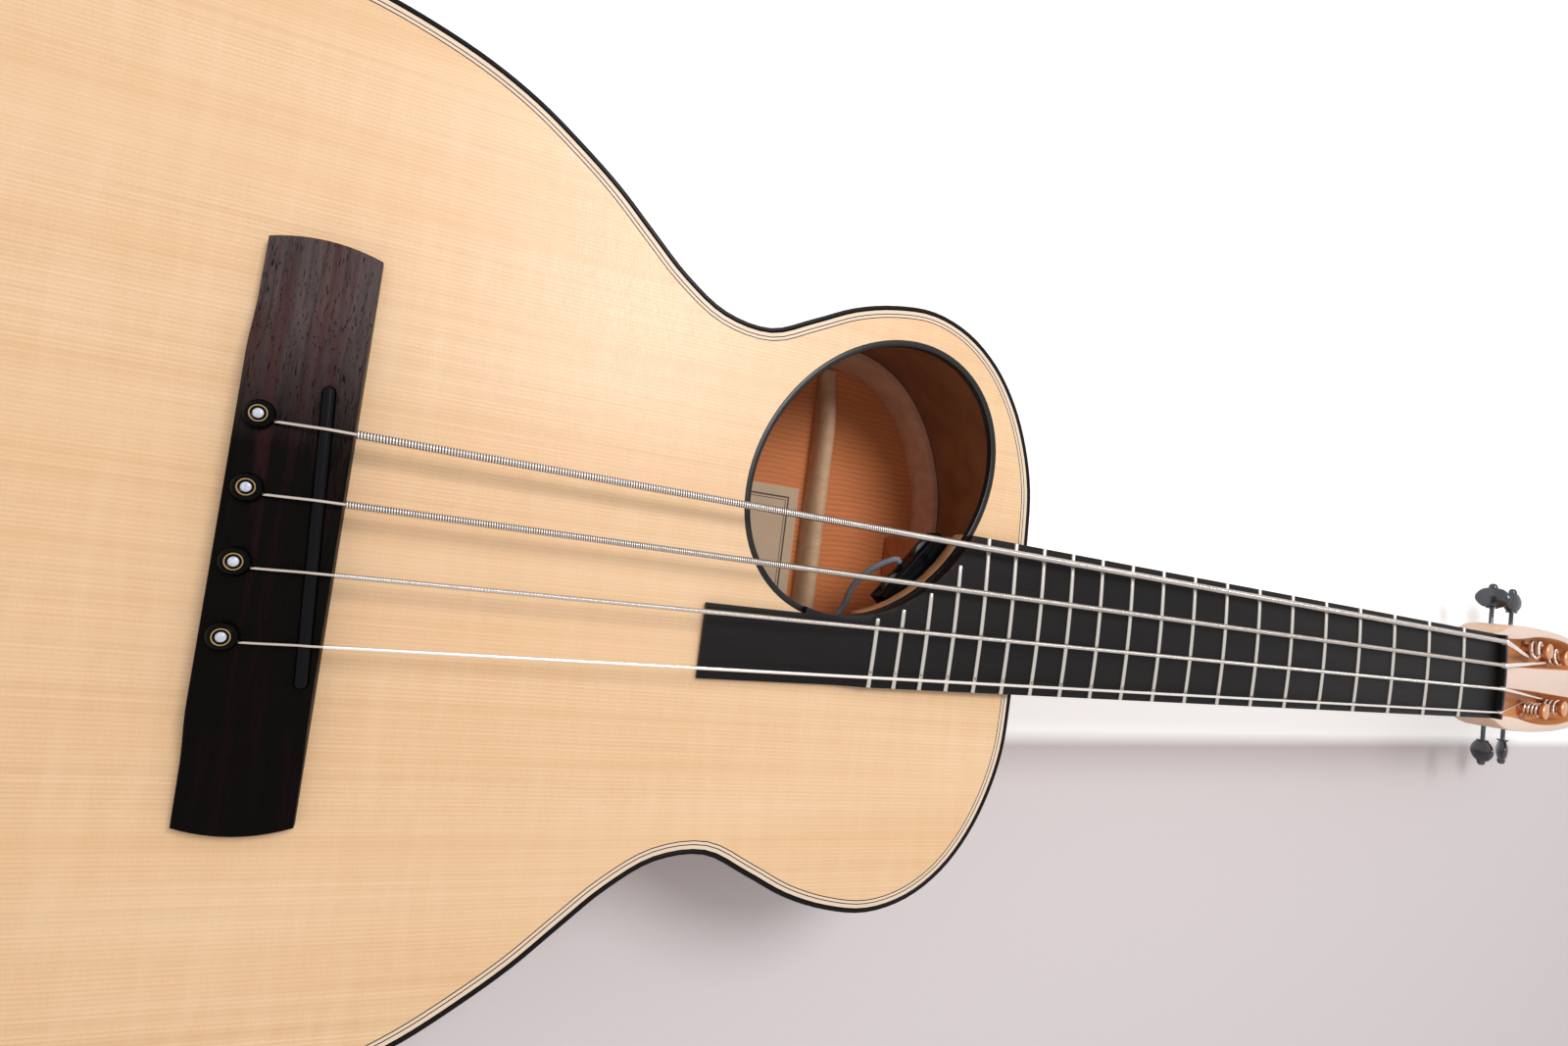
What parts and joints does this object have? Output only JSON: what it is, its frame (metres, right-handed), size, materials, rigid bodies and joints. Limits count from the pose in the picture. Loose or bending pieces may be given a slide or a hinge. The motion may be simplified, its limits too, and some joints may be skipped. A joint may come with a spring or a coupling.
{
  "type": "bass ukulele",
  "caption": "Short-scale acoustic bass ukulele: hollow waisted body, offset oval soundhole, fretted neck, tilted head with geared tuners, pinned bridge and soundhole volume unit.",
  "frame": {"origin": "on the back's outer face, straight under the middle of the saddle line", "axes": "+X along the strings to the head, +Y to the bass side, +Z out of the soundboard"},
  "size_m": [0.8707, 0.3142, 0.0879],
  "materials": {
    "spruce": "satin varnish over pale spruce",
    "mahogany": "bare and reddish brown inside, satin varnish outside",
    "brace_spruce": "bare and pale",
    "maple": "satin varnish, pale pinkish face",
    "ebony": "oiled and near black",
    "rosewood": "oiled, dark with reddish streaks",
    "black_trim": "black, satin",
    "black_plastic": "black, polished",
    "black_metal": "black, satin",
    "steel": "wound steel",
    "copper": "copper coloured, polished",
    "brass": "polished",
    "cable_rubber": "grey-blue, dull"
  },
  "bodies": {
    "body": {"soundboard": "spruce", "back": "mahogany", "side_bass": "mahogany", "side_treble": "mahogany", "top_lining_bass": "mahogany", "top_lining_treble": "mahogany", "back_lining_bass": "mahogany", "back_lining_treble": "mahogany", "neck_block": "mahogany", "tail_block": "mahogany", "fretboard_patch": "mahogany", "back_brace_1": "brace_spruce", "back_brace_2": "brace_spruce", "back_brace_3": "brace_spruce", "waist_brace": "brace_spruce", "tone_bar": "brace_spruce", "neck": "maple", "bridge_plate": "maple", "fretboard": "ebony", "heel_cap": "ebony", "bridge": "rosewood", "top_binding": "black_trim", "back_binding": "black_trim", "soundhole_rim": "black_trim", "nut": "black_trim", "saddle": "black_trim", "control_unit": "black_plastic", "end_jack": "black_metal", "tuner_plate_1": "black_metal", "tuner_plate_2": "black_metal", "tuner_plate_3": "black_metal", "tuner_plate_4": "black_metal", "truss_rod": "steel", "string_1": "steel", "string_2": "steel", "string_3": "steel", "string_4": "steel", "pickup_cable": "cable_rubber"},
    "key_4": {"tuner_shaft_4": "black_metal", "tuner_button_4": "black_plastic"},
    "post_4": {"tuner_post_4": "copper", "tuner_gear_4": "brass"},
    "key_3": {"tuner_shaft_3": "black_metal", "tuner_button_3": "black_plastic"},
    "post_3": {"tuner_post_3": "copper", "tuner_gear_3": "brass"},
    "key_2": {"tuner_shaft_2": "black_metal", "tuner_button_2": "black_plastic"},
    "post_2": {"tuner_post_2": "copper", "tuner_gear_2": "brass"},
    "key_1": {"tuner_shaft_1": "black_metal", "tuner_button_1": "black_plastic"},
    "post_1": {"tuner_post_1": "copper", "tuner_gear_1": "brass"},
    "wheel_1": {"thumbwheel_1": "black_plastic"},
    "wheel_2": {"thumbwheel_2": "black_plastic"},
    "pin_1": {"bridge_pin_1": "black_plastic"},
    "pin_2": {"bridge_pin_2": "black_plastic"},
    "pin_3": {"bridge_pin_3": "black_plastic"},
    "pin_4": {"bridge_pin_4": "black_plastic"}
  },
  "joints": [
    {"name": "key_turn_4", "type": "hinge", "parent": "body", "child": "key_4", "pos_m": [0.61602, 0.0175, 0.03185], "axis": [0, 1, 0], "continuous": true},
    {"name": "post_turn_4", "type": "hinge", "parent": "body", "child": "post_4", "pos_m": [0.62362, 0.0175, 0.03037], "axis": [0.1908, 0, 0.9816], "continuous": true},
    {"name": "key_turn_3", "type": "hinge", "parent": "body", "child": "key_3", "pos_m": [0.64939, 0.0152, 0.02537], "axis": [0, 1, 0], "continuous": true},
    {"name": "post_turn_3", "type": "hinge", "parent": "body", "child": "post_3", "pos_m": [0.657, 0.0152, 0.02389], "axis": [0.1908, 0, 0.9816], "continuous": true},
    {"name": "key_turn_2", "type": "hinge", "parent": "body", "child": "key_2", "pos_m": [0.64939, -0.0152, 0.02537], "axis": [0, -1, 0], "continuous": true},
    {"name": "post_turn_2", "type": "hinge", "parent": "body", "child": "post_2", "pos_m": [0.657, -0.0152, 0.02389], "axis": [0.1908, 0, 0.9816], "continuous": true},
    {"name": "key_turn_1", "type": "hinge", "parent": "body", "child": "key_1", "pos_m": [0.61602, -0.0175, 0.03185], "axis": [0, -1, 0], "continuous": true},
    {"name": "post_turn_1", "type": "hinge", "parent": "body", "child": "post_1", "pos_m": [0.62362, -0.0175, 0.03037], "axis": [0.1908, 0, 0.9816], "continuous": true},
    {"name": "thumbwheel_turn_1", "type": "hinge", "parent": "body", "child": "wheel_1", "pos_m": [0.18405, 0.00595, 0.0613], "axis": [0, 0, 1], "range_deg": [-135, 135]},
    {"name": "thumbwheel_turn_2", "type": "hinge", "parent": "body", "child": "wheel_2", "pos_m": [0.19538, 0.01994, 0.0613], "axis": [0, 0, 1], "range_deg": [-135, 135]},
    {"name": "pin_pull_1", "type": "slide", "parent": "body", "child": "pin_1", "axis": [0, 0, 1], "range_m": [0, 0.022]},
    {"name": "pin_pull_2", "type": "slide", "parent": "body", "child": "pin_2", "axis": [0, 0, 1], "range_m": [0, 0.022]},
    {"name": "pin_pull_3", "type": "slide", "parent": "body", "child": "pin_3", "axis": [0, 0, 1], "range_m": [0, 0.022]},
    {"name": "pin_pull_4", "type": "slide", "parent": "body", "child": "pin_4", "axis": [0, 0, 1], "range_m": [0, 0.022]}
  ],
  "couplings": [
    {"joint": "post_turn_4", "follows": "key_turn_4", "ratio": 0.071429},
    {"joint": "post_turn_3", "follows": "key_turn_3", "ratio": 0.071429},
    {"joint": "post_turn_2", "follows": "key_turn_2", "ratio": -0.071429},
    {"joint": "post_turn_1", "follows": "key_turn_1", "ratio": -0.071429}
  ]
}
